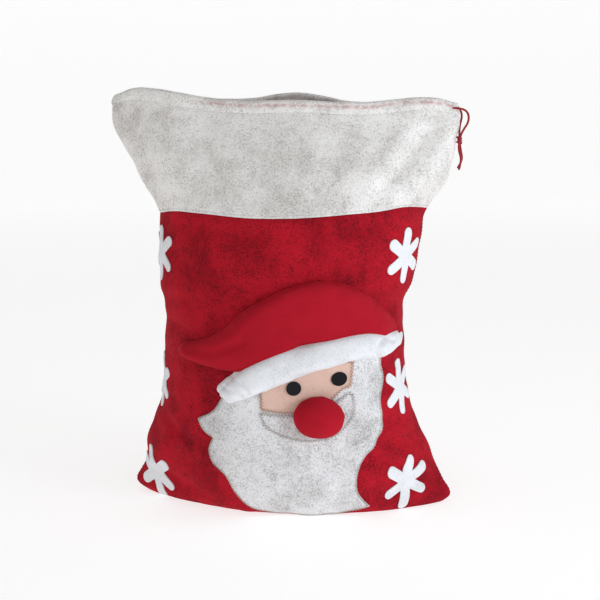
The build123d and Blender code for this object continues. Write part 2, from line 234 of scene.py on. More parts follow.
# ---- settings ----
class SackSizes(bpy.types.PropertyGroup):
    """Sizes that a maker would change"""
    felt: FloatProperty(name="Felt", description="Thickness of every sheet of felt",
                        default=0.0016, min=0.0005, unit="LENGTH")
    cap_loft: FloatProperty(name="Cap loft", description="How far the padded cap stands out",
                            default=0.019, min=0.005, unit="LENGTH")
    brim_loft: FloatProperty(name="Brim loft", description="How far the padded brim stands out",
                             default=0.022, min=0.005, unit="LENGTH")
    flake_span: FloatProperty(name="Snowflake", description="Width across a snowflake",
                              default=0.080, min=0.02, unit="LENGTH")
    flake_arm: FloatProperty(name="Snowflake arm", description="Width of a snowflake's arm",
                             default=0.0155, min=0.004, unit="LENGTH")
    cord: FloatProperty(name="Drawstring", description="Diameter of the drawstring",
                        default=0.003, min=0.001, unit="LENGTH")
    thread: FloatProperty(name="Thread", description="Diameter of the sewing thread",
                          default=0.0007, min=0.0002, unit="LENGTH")
    columns: IntProperty(name="Columns", description="Faces across each panel", default=150)
    rows: IntProperty(name="Rows", description="Faces up each panel", default=130)


class SackColours(bpy.types.PropertyGroup):
    """Colours of the felt, cord and thread"""
    red: FloatVectorProperty(name="Red felt", description="Body, cap and nose",
                             subtype="COLOR", default=(0.45, 0.008, 0.020))
    white: FloatVectorProperty(name="White felt", description="Collar, beard, brim and flakes",
                               subtype="COLOR", default=(0.78, 0.79, 0.82))
    skin: FloatVectorProperty(name="Skin felt", description="The face between brim and beard",
                              subtype="COLOR", default=(0.68, 0.47, 0.39))
    black: FloatVectorProperty(name="Black felt", description="The eyes",
                               subtype="COLOR", default=(0.012, 0.012, 0.014))
    cord: FloatVectorProperty(name="Drawstring", description="The braided cord",
                              subtype="COLOR", default=(0.50, 0.010, 0.020))


def sizes():
    return bpy.context.scene.sack_sizes


def colours():
    return bpy.context.scene.sack_colours


# ---- the skin of the sack ----
def smooth_table(known, values, at):
    """Values at any place, on a smooth curve through the known ones."""
    slopes = np.gradient(values, known, axis=0)
    low = np.clip(np.searchsorted(known, at) - 1, 0, len(known) - 2)
    step = (known[low + 1] - known[low])[..., None]
    t = np.clip((at - known[low])[..., None] / step, 0, 1)
    between = (2 * t ** 3 - 3 * t ** 2 + 1) * values[low] + (3 * t ** 2 - 2 * t ** 3) * values[low + 1]
    between = between + (t ** 3 - 2 * t ** 2 + t) * step * slopes[low]
    return between + (t ** 3 - t ** 2) * step * slopes[low + 1]


def level_values(height):
    """Left, right, depth and both pinches at each height."""
    return np.moveaxis(smooth_table(LEVELS[:, 0], LEVELS[:, 1:], height), -1, 0)


def height_along(pairs, x):
    pairs = np.array(pairs)
    return smooth_table(pairs[:, 0], pairs[:, 1:], np.asarray(x, float))[..., 0]


def smooth_skin(height, turn):
    """Points of the sack without folds. Turn is 0 at the right seam and pi at the left."""
    left, right, depth, left_pinch, right_pinch = level_values(height)
    ripple = 0.0005 * np.sin(height * 170) + 0.0008 * np.sin(height * 83 + 1)
    reach = (left + right) / 2 + ripple * np.cos(turn) ** 2
    pinch = (left_pinch + right_pinch) / 2 - (left_pinch - right_pinch) / 2 * np.cos(turn)
    bulge = depth * np.abs(np.sin(turn)) ** pinch
    return np.stack([(right - left) / 2 + reach * np.cos(turn),
                     -np.sign(np.sin(turn)) * bulge, height], -1)


def turn_at(x, height, side=FRONT):
    left, right = level_values(height)[:2]
    return side * np.arccos(np.clip((x - (right - left) / 2) / ((left + right) / 2), -1, 1))


def seam_height(turn, side):
    """The height of the collar seam at each turn."""
    across = SEAM_REACH * np.cos(turn) + SEAM_MIDDLE
    return height_along(COLLAR_SEAM if side == FRONT else REAR_SEAM, across)


def rim_height(turn, side):
    """The height of the folded rim at each turn."""
    across = RIM_MIDDLE + RIM_REACH * np.cos(turn)
    return height_along(FRONT_RIM if side == FRONT else REAR_RIM, across)


def soft_waves(x, height, seed, count, shortest, longest):
    """A sum of low waves in many directions, so that no stretch of felt is perfectly even."""
    draw = np.random.default_rng(seed)
    total = np.zeros(np.broadcast(x, height).shape)
    for _ in range(count):
        length = draw.uniform(shortest, longest)
        angle, phase = draw.uniform(0, math.tau, 2)
        along = x * math.cos(angle) + height * math.sin(angle)
        total += np.sin(along * math.tau / length + phase)
    return total / math.sqrt(count)


def relief(x, height, side):
    """How far folds and waves lift the felt off the smooth skin."""
    lift = 0.0016 * soft_waves(x, height, 5 + side, 9, 0.09, 0.24)
    lift += 0.0005 * soft_waves(x, height, 25 + side, 12, 0.022, 0.05)
    for x0, z0, x1, z1, width, tall in (FRONT_FOLDS if side == FRONT else REAR_FOLDS):
        dx, dz = x1 - x0, z1 - z0
        t = np.clip(((x - x0) * dx + (height - z0) * dz) / (dx * dx + dz * dz), 0, 1)
        away = np.hypot(x - x0 - t * dx, height - z0 - t * dz)
        ends = np.sqrt(np.sin(np.pi * np.clip(t, 0.04, 0.96)))
        lift += tall * ends * np.exp(-(away / width) ** 2)
    seam = height_along(COLLAR_SEAM if side == FRONT else REAR_SEAM, np.clip(x, -0.185, 0.188))
    return lift - 0.0018 * np.exp(-((height - seam) / 0.004) ** 2)


def skin(height, turn, out=0.0):
    """Points at a distance out from the folded felt, and which way is outwards."""
    height, turn, out = np.broadcast_arrays(*map(np.asarray, (height, turn, out)))
    height = height.astype(float)
    side = FRONT if np.mean(np.sin(turn)) >= 0 else REAR
    inner = side * np.clip(np.abs(turn), 0.06, np.pi - 0.06)
    base = smooth_skin(height, turn)
    around = smooth_skin(height, inner + 0.02) - smooth_skin(height, inner - 0.02)
    up = smooth_skin(height + 0.002, inner) - smooth_skin(height - 0.002, inner)
    outwards = np.cross(up, around)
    outwards /= np.linalg.norm(outwards, axis=-1, keepdims=True)
    edge = np.clip(np.abs(np.sin(turn)) / 0.30, 0, 1)
    edge = edge * edge * (3 - 2 * edge)
    lift = relief(base[..., 0], height, side) * edge
    return base + outwards * (lift + out)[..., None], outwards


# ---- meshes ----
def activate(piece):
    bpy.ops.object.select_all(action="DESELECT")
    piece.select_set(True)
    bpy.context.view_layer.objects.active = piece


def points_of(piece):
    found = np.empty(len(piece.data.vertices) * 3)
    piece.data.vertices.foreach_get("co", found)
    return found.reshape(-1, 3)


def set_points(piece, points):
    piece.data.vertices.foreach_set("co", np.asarray(points, float).ravel())
    piece.data.update()


def apply_modifier(piece, kind, **settings):
    activate(piece)
    modifier = piece.modifiers.new(kind.title(), kind)
    for name, value in settings.items():
        setattr(modifier, name, value)
    bpy.ops.object.modifier_apply(modifier=modifier.name)


def mesh_piece(name, points, faces):
    mesh = bpy.data.meshes.new(name)
    mesh.from_pydata([tuple(point) for point in points], [], faces)
    piece = bpy.data.objects.new(name, mesh)
    bpy.context.scene.collection.objects.link(piece)
    return piece


def grid_piece(name, points):
    """A sheet from rows and columns of points."""
    rows, columns = points.shape[:2]
    faces = []
    for row in range(rows - 1):
        for column in range(columns - 1):
            first = row * columns + column
            faces.append((first, first + 1, first + columns + 1, first + columns))
    return mesh_piece(name, points.reshape(-1, 3), faces)


def thicken(piece, thickness, offset):
    """Give a sheet its thickness, to the inside (-1) or the outside (1) of its normals."""
    apply_modifier(piece, "SOLIDIFY", thickness=thickness, offset=offset)


def weld(piece):
    """Merge the points that lie on one another, such as a tube's end and its cap."""
    activate(piece)
    bpy.ops.object.mode_set(mode="EDIT")
    bpy.ops.mesh.select_all(action="SELECT")
    bpy.ops.mesh.remove_doubles(threshold=1e-5)
    bpy.ops.mesh.normals_make_consistent(inside=False)
    bpy.ops.object.mode_set(mode="OBJECT")


def finish(piece, material, body=None, angle=50):
    piece.data.materials.clear()
    piece.data.materials.append(material)
    activate(piece)
    bpy.ops.object.shade_smooth_by_angle(angle=math.radians(angle))
    if body:
        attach(piece, body)
    return piece


def spline_stretch(points, spacing):
    """A smooth curve through points, as evenly spaced points without the last."""
    points = np.array(points)
    knots = np.concatenate([[0], np.cumsum(np.linalg.norm(np.diff(points, axis=0), axis=1))])
    count = max(2, round(knots[-1] / spacing))
    return smooth_table(knots, points, np.arange(count) / count * knots[-1])


def outline_points(stretches, spacing=0.0025):
    return np.concatenate([spline_stretch(stretch, spacing) for stretch in stretches])


def edge_distance(points, ring):
    """How far each point is from the closed outline."""
    start, along = ring, np.roll(ring, -1, axis=0) - ring
    nearest = np.full(len(points), np.inf)
    for first, step in zip(start, along):
        t = np.clip((points - first) @ step / max(step @ step, 1e-12), 0, 1)
        away = np.linalg.norm(points - first - t[:, None] * step, axis=1)
        nearest = np.minimum(nearest, away)
    return nearest


def cut_sheet(ring, spacing):
    """The flat cut: points inside an outline, and the triangles that join them."""
    low, high = ring.min(0), ring.max(0)
    across = np.arange(low[0], high[0], spacing)
    up = np.arange(low[1], high[1], spacing * 0.87)
    grid = np.array([(x + (row % 2) * spacing / 2, z) for row, z in enumerate(up) for x in across])
    grid = grid[edge_distance(grid, ring) > spacing * 0.45]
    points = [Vector(point) for point in np.concatenate([ring, grid])]
    edges = [(index, (index + 1) % len(ring)) for index in range(len(ring))]
    found, _, faces, _, _, _ = delaunay_2d_cdt(points, edges, [], 1, 1e-7)
    return np.array([tuple(point) for point in found]), [tuple(face) for face in faces]


def on_front(points):
    """Height and turn of face points that are given as x and z."""
    return points[:, 1], turn_at(points[:, 0], points[:, 1])


def around_point(height, turn):
    """How to lay a small cut upright on the skin round a point, without stretching it."""
    turns = np.linspace(np.pi - 0.01, 0.01, 300)
    middle = smooth_skin(np.array(height), np.array(turn))
    across = smooth_skin(np.array(height), np.array(turn - 0.02)) - middle
    across /= np.linalg.norm(across)

    def place(points):
        found = []
        for sideways, up in points:
            ring = smooth_skin(np.full(300, max(height + up, 0.0)), turns)
            walked = np.cumsum(np.linalg.norm(np.diff(ring, axis=0, prepend=ring[:1]), axis=1))
            beside = (ring - middle) @ across
            near = int(np.clip(np.argmin(np.abs(beside)), 1, 298))
            upright = np.interp(0, beside[near - 1:near + 2], walked[near - 1:near + 2])
            found.append(np.interp(upright + sideways, walked, turns))
        return np.maximum(height + points[:, 1], 0.002), np.array(found)
    return place


def felt_cut(name, ring, place, out, material, spacing=0.005, thickness=None):
    """A piece of felt that lies on the sack at a distance out from its skin."""
    thickness = thickness or sizes().felt
    points, faces = cut_sheet(ring, spacing)
    laid, _ = skin(*place(points), out)
    piece = mesh_piece(name + "_felt", laid, faces)
    face_outwards(piece)
    thicken(piece, thickness, 1)
    apply_modifier(piece, "BEVEL", width=thickness * 0.3, segments=2, limit_method="ANGLE",
                   angle_limit=math.radians(50))
    finish(piece, material, "sack")
    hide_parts(name)
    return piece


def face_outwards(piece):
    """Turn a flat cut so that its faces look away from the middle of the sack."""
    mesh = piece.data
    mesh.update()
    middle = Vector((0, 0, 0))
    for polygon in mesh.polygons:
        middle += polygon.normal * polygon.area
    centre = np.mean(points_of(piece), axis=0)
    if middle.x * centre[0] + middle.y * centre[1] < 0:
        mesh.flip_normals()


# ---- finishes ----
class Wiring:
    """Adds nodes to a material or group, and joins them."""

    def __init__(self, tree):
        self.tree = tree

    def node(self, kind, inputs=None, **settings):
        made = self.tree.nodes.new(kind)
        for name, value in settings.items():
            setattr(made, name, value)
        for name, value in (inputs or {}).items():
            if isinstance(value, bpy.types.NodeSocket):
                self.tree.links.new(value, made.inputs[name])
            else:
                made.inputs[name].default_value = value
        return made

    def math(self, operation, first, second=0.0, clamp=False):
        return self.node("ShaderNodeMath", {0: first, 1: second}, operation=operation,
                         use_clamp=clamp).outputs[0]

    def range(self, value, low, high, to_low=0.0, to_high=1.0):
        made = self.node("ShaderNodeMapRange", {"Value": value, "From Min": low, "From Max": high,
                                                "To Min": to_low, "To Max": to_high},
                         interpolation_type="SMOOTHSTEP")
        return made.outputs[0]

    def blend(self, share, first, second):
        made = self.node("ShaderNodeMix", data_type="RGBA")
        for socket, value in ((0, share), (6, first), (7, second)):
            if isinstance(value, bpy.types.NodeSocket):
                self.tree.links.new(value, made.inputs[socket])
            else:
                made.inputs[socket].default_value = value
        return made.outputs[2]

    def noise(self, coordinates, scale, detail=4.0, roughness=0.6, distortion=0.0):
        return self.node("ShaderNodeTexNoise", {"Vector": coordinates, "Scale": scale,
                                                "Detail": detail, "Roughness": roughness,
                                                "Distortion": distortion}).outputs["Fac"]


def rgba(colour, share=1.0):
    return (colour[0] * share, colour[1] * share, colour[2] * share, 1.0)


def felt_fibres():
    """Needled fibres: dark flecks that crowd together in patches, and a fuzzy surface."""
    group = bpy.data.node_groups.get("Felt fibres")
    if group:
        return group
    group = bpy.data.node_groups.new("Felt fibres", "ShaderNodeTree")
    new = group.interface.new_socket
    new(name="Coordinates", in_out="INPUT", socket_type="NodeSocketVector")
    new(name="Fleck scale", in_out="INPUT", socket_type="NodeSocketFloat")
    new(name="Fleck edge", in_out="INPUT", socket_type="NodeSocketFloat")
    for name in ("Flecks", "Clouds", "Height"):
        new(name=name, in_out="OUTPUT", socket_type="NodeSocketFloat")
    wire = Wiring(group)
    given = wire.node("NodeGroupInput").outputs
    where = given["Coordinates"]
    clouds = wire.noise(where, 16.0, 4.0, 0.6, 0.3)
    patches = wire.noise(where, 60.0, 3.0, 0.6, 0.2)
    fine = wire.noise(where, given["Fleck scale"], 3.0, 0.7, 0.5)
    crowd = wire.math("ADD", wire.math("MULTIPLY", patches, 0.30),
                      wire.math("MULTIPLY", clouds, 0.25))
    mixed = wire.math("ADD", fine, wire.math("SUBTRACT", crowd, 0.275))
    flecks = wire.range(mixed, given["Fleck edge"],
                        wire.math("ADD", given["Fleck edge"], 0.30))
    streaks = []
    for angle, tilt in ((0.5, 0.9), (-0.7, -0.4)):
        turned = wire.node("ShaderNodeMapping", {"Vector": where, "Rotation": (tilt, angle, tilt),
                                                 "Scale": (1.0, 1.0, 0.16)}).outputs[0]
        streaks.append(wire.noise(turned, 950.0, 3.0, 0.6, 1.6))
    height = wire.math("ADD", wire.math("MULTIPLY", wire.math("MAXIMUM", *streaks), 0.5),
                       wire.math("MULTIPLY", wire.noise(where, 700.0, 4.0, 0.7), 0.7))
    wire.node("NodeGroupOutput", {"Flecks": flecks, "Clouds": clouds, "Height": height})
    return group


def felt_material(name, colour, fleck, cloud, fleck_scale, fleck_edge, fleck_share, cloud_share,
                  tint=None):
    """Matte felt: base colour, flecks of a second shade and clouds of a third."""
    material = bpy.data.materials.new(name)
    material.use_nodes = True
    material.node_tree.nodes.clear()
    wire = Wiring(material.node_tree)
    where = wire.node("ShaderNodeTexCoord").outputs["Object"]
    fibres = wire.node("ShaderNodeGroup", node_tree=felt_fibres())
    wire.tree.links.new(where, fibres.inputs["Coordinates"])
    fibres.inputs["Fleck scale"].default_value = fleck_scale
    fibres.inputs["Fleck edge"].default_value = fleck_edge
    cloudy = wire.range(fibres.outputs["Clouds"], 0.42, 0.66, 0.0, cloud_share)
    tone = wire.blend(cloudy, rgba(colour), rgba(cloud))
    if tint:
        shows = wire.node("ShaderNodeAttribute", attribute_name="Cord").outputs["Fac"]
        uneven = wire.range(wire.noise(where, 130.0, 3.0), 0.40, 0.64, 0.20, 0.70)
        tone = wire.blend(wire.math("MULTIPLY", shows, uneven), tone, rgba(tint))
    flecked = wire.math("MULTIPLY", fibres.outputs["Flecks"], fleck_share)
    tone = wire.blend(flecked, tone, rgba(fleck))
    bump = wire.node("ShaderNodeBump", {"Strength": 0.7, "Distance": 0.0008,
                                        "Height": fibres.outputs["Height"]})
    shader = wire.node("ShaderNodeBsdfPrincipled", {
        "Base Color": tone, "Roughness": 0.95, "Specular IOR Level": 0.12,
        "Sheen Weight": 0.2, "Sheen Roughness": 0.6, "Normal": bump.outputs[0]})
    shader.inputs["Sheen Tint"].default_value = rgba(colour)
    wire.node("ShaderNodeOutputMaterial", {"Surface": shader.outputs[0]})
    material.diffuse_color = rgba(colour)
    return material


def strand_material(name, colour, scale, strength):
    """Twisted yarn: slanting strands, with painted shade darkening the grooves between them."""
    material = bpy.data.materials.new(name)
    material.use_nodes = True
    material.node_tree.nodes.clear()
    wire = Wiring(material.node_tree)
    where = wire.node("ShaderNodeTexCoord").outputs["Object"]
    wave = wire.node("ShaderNodeTexWave", {"Vector": where, "Scale": scale, "Distortion": 1.5,
                                           "Detail": 2.0, "Detail Scale": 3.0},
                     bands_direction="DIAGONAL").outputs["Fac"]
    # painted shade: the wave's darker band darkens the yarn's colour in the grooves between strands
    tone = wire.blend(wave, rgba(colour, 0.45), rgba(colour))
    bump = wire.node("ShaderNodeBump", {"Strength": strength, "Distance": 0.0004, "Height": wave})
    shader = wire.node("ShaderNodeBsdfPrincipled", {
        "Base Color": tone, "Roughness": 0.7, "Specular IOR Level": 0.3,
        "Sheen Weight": 0.2, "Normal": bump.outputs[0]})
    wire.node("ShaderNodeOutputMaterial", {"Surface": shader.outputs[0]})
    return material


def finish_named(name):
    """A material by its name, made the first time that it is asked for."""
    found = bpy.data.materials.get(name)
    if found:
        return found
    tint = colours()
    red, white, flesh = tint.red, tint.white, tint.skin
    made = {
        "Red felt": lambda: felt_material(
            "Red felt", red, (red[0] * 0.16, red[1] * 0.5, red[2] * 0.4),
            (red[0] * 0.62, red[1] * 0.5, red[2] * 0.6), 420.0, 0.42, 0.80, 0.7),
        "Cap felt": lambda: felt_material(
            "Cap felt", (red[0] * 0.92, red[1], red[2]), (red[0] * 0.25, red[1], red[2] * 0.5),
            (red[0] * 0.8, red[1] * 0.7, red[2] * 0.8), 600.0, 0.50, 0.40, 0.4),
        "Heather felt": lambda: felt_material(
            "Heather felt", (0.84, 0.82, 0.80), (0.34, 0.31, 0.29), (0.63, 0.60, 0.57), 460.0,
            0.42, 0.75, 0.50, (0.45, 0.12, 0.10)),
        "White felt": lambda: felt_material(
            "White felt", white, (0.40, 0.39, 0.39), (0.64, 0.64, 0.65), 480.0, 0.48, 0.55,
            0.45),
        "Beard felt": lambda: felt_material(
            "Beard felt", (white[0] * 0.96, white[1] * 0.94, white[2] * 0.92),
            (0.25, 0.235, 0.23), (0.55, 0.53, 0.52), 480.0, 0.42, 0.80, 0.45),
        "Skin felt": lambda: felt_material(
            "Skin felt", flesh, (flesh[0] * 0.6, flesh[1] * 0.5, flesh[2] * 0.45),
            (flesh[0] * 0.9, flesh[1] * 0.86, flesh[2] * 0.84), 520.0, 0.48, 0.5, 0.5),
        "Black felt": lambda: felt_material(
            "Black felt", tint.black, (0.05, 0.05, 0.055), (0.02, 0.02, 0.022), 700.0, 0.55, 0.5,
            0.5),
        "Braided cord": lambda: strand_material("Braided cord", tint.cord, 700.0, 0.8),
        "Red thread": lambda: strand_material("Red thread", (0.20, 0.006, 0.014), 1600.0, 0.5),
        "Cream thread": lambda: strand_material("Cream thread", (0.62, 0.55, 0.44), 1600.0, 0.5),
        "Tan thread": lambda: strand_material("Tan thread", (0.40, 0.27, 0.19), 1600.0, 0.5),
        "White thread": lambda: strand_material("White thread", (0.74, 0.73, 0.72), 1600.0, 0.5),
    }
    return made[name]()


# ---- panels ----
def panel_points(side):
    """Rows of points from the bottom seam, out over the base and up to the collar seam."""
    columns, rows = sizes().columns, sizes().rows
    turns = side * np.linspace(np.pi, 0, columns + 1)
    base_rows = []
    edge, _ = skin(np.zeros(columns + 1), turns)
    for share in (0.0, 0.2, 0.4, 0.6, 0.76, 0.88, 0.96):
        row = edge.copy()
        row[:, 1] *= share
        base_rows.append(row)
    heights = np.linspace(0, 1, rows + 1)[:, None] ** 1.15 * seam_height(turns, side)[None, :]
    wall, _ = skin(heights, turns[None, :])
    wall[0, :, 2] = 0
    return np.concatenate([np.array(base_rows), wall])


def make_panel(name, node, side):
    points = panel_points(side)
    points[:, [0, -1], 1] = 0
    piece = grid_piece(name, points)
    if side == REAR:
        piece.data.flip_normals()
    thicken(piece, sizes().felt, -1)
    finish(piece, finish_named("Red felt"), "sack")
    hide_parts(node)
    return piece


class SACK_OT_panels(bpy.types.Operator):
    """Front and rear panels, sewn together down the sides and across the bottom"""
    bl_idname = "sack.panels"
    bl_label = "Front and rear panels"

    def execute(self, context):
        make_panel("front_panel_felt", "front_panel", FRONT)
        make_panel("rear_panel_felt", "rear_panel", REAR)
        return {"FINISHED"}


# ---- collar ----
def collar_points(side):
    """Rows up the collar, over the rim and down inside it, where the hem is sewn."""
    columns = sizes().columns
    turns = side * np.linspace(np.pi, 0, columns + 1)
    seam, rim = seam_height(turns, side) + 0.0004, rim_height(turns, side)
    top = rim - CASING
    rows = []
    for share in np.linspace(0, 1, 70):
        height = seam + share * (top - seam)
        below = rim - height
        swell = 0.0016 * np.sin(np.pi * np.clip(1 - below / HEM, 0, 1)) ** 0.5
        groove = -0.0012 * np.exp(-((below - HEM) / 0.0018) ** 2)
        rows.append(skin(height, turns, swell + groove)[0])
    for angle in np.linspace(0, np.pi, 9)[1:]:
        rows.append(skin(top + CASING * math.sin(angle), turns, -CASING * (1 - math.cos(angle)))[0])
    for drop in (0.25, 0.5, 0.75, 1.0):
        rows.append(skin(top - drop * (HEM - CASING), turns, -CASING * (2 - 0.6 * drop))[0])
    points = np.array(rows)
    points[:, :, 1] = -side * np.maximum(-side * points[:, :, 1], 0.0003)
    return points


def keep_half(piece, name, keep_right):
    """One half of a finished piece, cut at the middle and closed over the cut."""
    activate(piece)
    bpy.ops.object.duplicate()
    half = bpy.context.active_object
    half.name = half.data.name = name
    bpy.ops.object.mode_set(mode="EDIT")
    bpy.ops.mesh.select_all(action="SELECT")
    bpy.ops.mesh.bisect(plane_co=(0, 0, 0), plane_no=(1, 0, 0), clear_inner=keep_right,
                        clear_outer=not keep_right, threshold=1e-6, use_fill=True)
    bpy.ops.object.mode_set(mode="OBJECT")
    return half


def split_for_mouth(piece, names, replaced):
    """Cut a piece at the middle into a left and a right half, each with the whole piece's normals."""
    halves = []
    for name, keep_right in zip(names, (False, True)):
        half = keep_half(piece, name, keep_right)
        apply_modifier(half, "DATA_TRANSFER", object=piece, use_loop_data=True,
                       data_types_loops={"CUSTOM_NORMAL"}, loop_mapping="NEAREST_POLYNOR")
        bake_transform(half)
        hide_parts(replaced)
        halves.append(half)
    bpy.data.objects.remove(piece)
    return halves


def mark_cord(piece, side):
    """Mark where the red cord shows faintly through the hem, for the felt's colour."""
    points = points_of(piece)
    turns = turn_at(points[:, 0], points[:, 2], side)
    away = rim_height(turns, side) - points[:, 2] - 0.0075
    shows = np.exp(-(away / 0.0022) ** 2) * np.clip((points[:, 0] + 0.150) / 0.06, 0, 1)
    mark = piece.data.attributes.new("Cord", "FLOAT", "POINT")
    mark.data.foreach_set("value", shows)


def make_collar(side, word):
    piece = grid_piece(f"{word}_collar_whole", collar_points(side))
    if side == REAR:
        piece.data.flip_normals()
    mark_cord(piece, side)
    thicken(piece, sizes().felt, -1)
    finish(piece, finish_named("Heather felt"), angle=60)
    names = (f"{word}_collar_left_half", f"{word}_collar_right_half")
    for half in split_for_mouth(piece, names, f"{word}_collar"):
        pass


class SACK_OT_collars(bpy.types.Operator):
    """The pale collar, with its rim folded in over the drawstring"""
    bl_idname = "sack.collars"
    bl_label = "Collar"

    def execute(self, context):
        make_collar(FRONT, "front")
        make_collar(REAR, "rear")
        return {"FINISHED"}


# ---- flat pieces ----
class SACK_OT_face_pieces(bpy.types.Operator):
    """The flat felt pieces of the face: beard, skin, moustache and eyes"""
    bl_idname = "sack.face_pieces"
    bl_label = "Beard, face and eyes"

    def execute(self, context):
        felt = sizes().felt
        layers = (("beard", BEARD, 0.0002, "Beard felt", "white_felt", felt),
                  ("face_panel", FACE, felt + 0.0003, "Skin felt", "skin_felt", felt * 0.7),
                  ("moustache", MOUSTACHE, felt + 0.0003, "Beard felt", "white_felt",
                   felt * 0.6))
        for name, stretches, out, material, slot, thickness in layers:
            piece = felt_cut(name, outline_points(stretches), on_front, out,
                             finish_named(material), thickness=thickness)
        angles = np.linspace(0, math.tau, 40, endpoint=False)
        for name, centre in EYES.items():
            ring = np.stack([np.cos(angles), np.sin(angles)], 1) * EYE_RADIUS + np.array(centre)
            piece = felt_cut(name, ring, on_front, 2 * felt + 0.0004, finish_named("Black felt"),
                             spacing=0.003)
        return {"FINISHED"}


def flake_ring(draw):
    """A six-armed snowflake with rounded arms, cut by hand and so a little uneven."""
    ring = []
    half = sizes().flake_arm / 2
    for arm in range(6):
        angle = math.radians(30 + 60 * arm) + draw.uniform(-0.05, 0.05)
        reach = sizes().flake_span / 2 * draw.uniform(0.94, 1.03) - half
        width = half * draw.uniform(0.9, 1.08)
        for turn in np.linspace(-math.pi / 2, math.pi / 2, 9):
            ring.append((reach * math.cos(angle) + width * math.cos(angle + turn),
                         reach * math.sin(angle) + width * math.sin(angle + turn)))
        notch = math.radians(60 + 60 * arm)
        ring.append((half * 2.0 * math.cos(notch), half * 2.0 * math.sin(notch)))
    return np.array(ring)


class SACK_OT_snowflakes(bpy.types.Operator):
    """Three felt snowflakes down each side of the front"""
    bl_idname = "sack.snowflakes"
    bl_label = "Snowflakes"

    def execute(self, context):
        draw = np.random.default_rng(11)
        for name, (height, turn) in FLAKES.items():
            corners = flake_ring(draw)
            ring = outline_points(zip(corners, np.roll(corners, -1, axis=0)))
            piece = felt_cut(f"{name}_snowflake", ring, around_point(height, math.radians(turn)),
                             0.0002, finish_named("White felt"), spacing=0.004)
        return {"FINISHED"}


# ---- padded pieces ----
def pillow(name, stretches, out, loft, rounding, spacing=0.005):
    """A closed pad on the skin: a flat back, and a front that swells from its edge."""
    ring = outline_points(stretches)
    points, faces = cut_sheet(ring, spacing)
    away = edge_distance(points, ring)
    share = 1 - np.clip(away / rounding, 0, 1)
    swell = loft * np.sqrt(np.clip(1 - share ** 2, 0, 1))
    height, turn = on_front(points)
    base, outwards = skin(height, turn)
    straight = np.maximum(-outwards[:, 1:2], 0.45)
    front, back = base.copy(), base.copy()
    front[:, 1:2] -= (out + swell[:, None] + 0.0012) / straight
    back[:, 1:2] -= out / straight
    count = len(points)
    piece = mesh_piece(name, front, faces)
    face_outwards(piece)
    faces = [tuple(polygon.vertices) for polygon in piece.data.polygons]
    bpy.data.objects.remove(piece)
    walls = outline_walls(faces, count)
    closed = faces + [tuple(index + count for index in reversed(face)) for face in faces] + walls
    return mesh_piece(name, np.concatenate([front, back]), closed)


def outline_walls(faces, count):
    """Faces that join the front sheet's open edge to the back sheet's."""
    seen = {}
    for face in faces:
        for first, second in zip(face, face[1:] + face[:1]):
            seen[(first, second)] = True
    walls = []
    for first, second in seen:
        if (second, first) not in seen:
            walls.append((second, first, first + count, second + count))
    return walls


def plump(piece, voxel, pressure, reach):
    """Let the air pressure of a cloth simulation fill a pad, and keep its shape."""
    piece.data.remesh_voxel_size = voxel
    activate(piece)
    bpy.ops.object.voxel_remesh()
    start = points_of(piece)
    cloth = piece.modifiers.new("Filling", "CLOTH")
    cloth.settings.use_pressure = True
    cloth.settings.uniform_pressure_force = pressure
    cloth.settings.effector_weights.gravity = 0
    for step in range(1, 21):
        bpy.context.scene.frame_set(step)
    filled = piece.evaluated_get(bpy.context.evaluated_depsgraph_get())
    moved = points_of(filled) - start
    length = np.linalg.norm(moved, axis=1, keepdims=True)
    moved *= np.minimum(1, reach / np.maximum(length, 1e-9))
    piece.modifiers.remove(cloth)
    bpy.context.scene.frame_set(1)
    set_points(piece, start + moved)
    apply_modifier(piece, "SMOOTH", factor=0.5, iterations=4)
    apply_modifier(piece, "SUBSURF", levels=1, render_levels=1)


def sewn_groove(piece, path, width, depth):
    """Press a line of stitching into a pad along a path of x and z."""
    points = points_of(piece)
    nearest = np.full(len(points), np.inf)
    for first, second in zip(path, path[1:]):
        step = second - first
        t = np.clip((points[:, [0, 2]] - first) @ step / (step @ step), 0, 1)
        away = np.linalg.norm(points[:, [0, 2]] - first - t[:, None] * step, axis=1)
        nearest = np.minimum(nearest, away)
    height = np.clip(points[:, 2], 0.01, SEAM)
    turn = turn_at(points[:, 0], height)
    base, outwards = skin(height, turn)
    raised = np.sum((points - base) * outwards, axis=1)
    press = depth * np.exp(-(nearest / width) ** 2) * np.clip(raised / 0.008, 0, 1)
    set_points(piece, points - outwards * press[:, None])


class SACK_OT_cap(bpy.types.Operator):
    """The padded cap, sewn down all round, its soft end flopped to one side"""
    bl_idname = "sack.cap"
    bl_label = "Padded cap"

    def execute(self, context):
        piece = pillow("cap", CAP, 0.0004, sizes().cap_loft, 0.020)
        plump(piece, 0.004, 4.0, 0.004)
        sewn_groove(piece, np.array([(-0.120, 0.232), (-0.080, 0.236), (-0.040, 0.250)]), 0.007,
                    0.003)
        sewn_groove(piece, np.array([(0.000, 0.275), (0.050, 0.290), (0.100, 0.288)]), 0.016,
                    -0.002)
        finish(piece, finish_named("Cap felt"), "sack", 180)
        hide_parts("cap_cover", "cap_padding")
        return {"FINISHED"}


